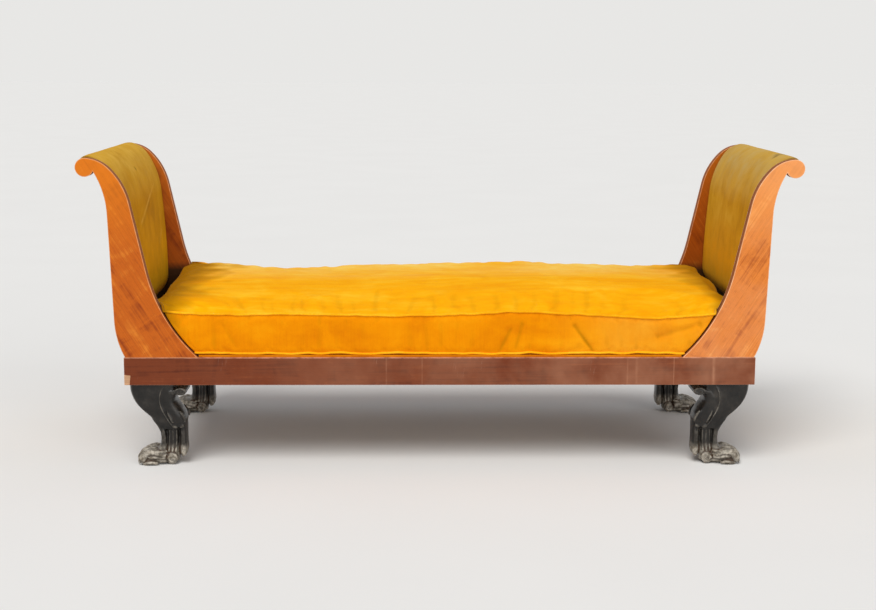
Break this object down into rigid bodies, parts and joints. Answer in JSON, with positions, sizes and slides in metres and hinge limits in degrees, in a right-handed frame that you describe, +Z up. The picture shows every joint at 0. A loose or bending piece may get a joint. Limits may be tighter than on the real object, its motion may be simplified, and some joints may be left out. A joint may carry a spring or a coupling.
{
  "type": "recamier daybed",
  "caption": "Upholstered daybed with scrolled wooden ends, a loose mattress on a webbed deck and carved paw-footed legs.",
  "frame": {"origin": "on the floor at the centre of the daybed's footprint", "axes": "+X along the daybed to its right end, +Y from its front to its back, +Z up"},
  "size_m": [1.9666, 0.72, 0.8566],
  "materials": {
    "panel_veneer": "polished figured mahogany veneer, satin",
    "rail_mahogany": "polished dark mahogany, satin",
    "leg_wood": "ebonised carving with worn high points, satin",
    "frame_beech": "raw beech, matte",
    "dowel_wood": "raw beech, matte",
    "screw_steel": "dull steel",
    "webbing": "woven jute webbing, matte",
    "base_cloth": "plain woven hessian, matte",
    "end_velvet": "worn olive-gold velvet",
    "stuffing": "pressed fibre stuffing, matte",
    "seat_velvet": "golden-yellow cotton velvet"
  },
  "bodies": {
    "frame": {"back_board_dowels": "dowel_wood", "corner_block_screws": "screw_steel", "deck_cloth": "base_cloth", "deck_cover": "seat_velvet", "front_left_corner_block": "frame_beech", "front_left_leg": "leg_wood", "front_left_scroll_panel": "panel_veneer", "front_rail": "rail_mahogany", "front_right_corner_block": "frame_beech", "front_right_leg": "leg_wood", "front_right_scroll_panel": "panel_veneer", "left_back_base_cloth": "base_cloth", "left_back_webbing": "webbing", "left_crest_roll": "frame_beech", "left_cross_bearer": "frame_beech", "left_end_rail": "rail_mahogany", "left_lower_back_board": "frame_beech", "left_middle_back_board": "frame_beech", "left_outside_back": "end_velvet", "left_pad_cover": "end_velvet", "left_pad_stuffing": "stuffing", "long_webbing": "webbing", "panel_dowels": "dowel_wood", "rear_left_corner_block": "frame_beech", "rear_left_leg": "leg_wood", "rear_left_scroll_panel": "panel_veneer", "rear_rail": "rail_mahogany", "rear_right_corner_block": "frame_beech", "rear_right_leg": "leg_wood", "rear_right_scroll_panel": "panel_veneer", "right_back_base_cloth": "base_cloth", "right_back_webbing": "webbing", "right_crest_roll": "frame_beech", "right_cross_bearer": "frame_beech", "right_end_rail": "rail_mahogany", "right_lower_back_board": "frame_beech", "right_middle_back_board": "frame_beech", "right_outside_back": "end_velvet", "right_pad_cover": "end_velvet", "right_pad_stuffing": "stuffing", "seat_webbing": "webbing"},
    "mattress": {"mattress_cover": "seat_velvet", "mattress_filling": "stuffing"}
  },
  "joints": [
    {"name": "mattress_lift", "type": "slide", "parent": "frame", "child": "mattress", "axis": [0, 0, 1], "range_m": [0, 0.56]}
  ]
}
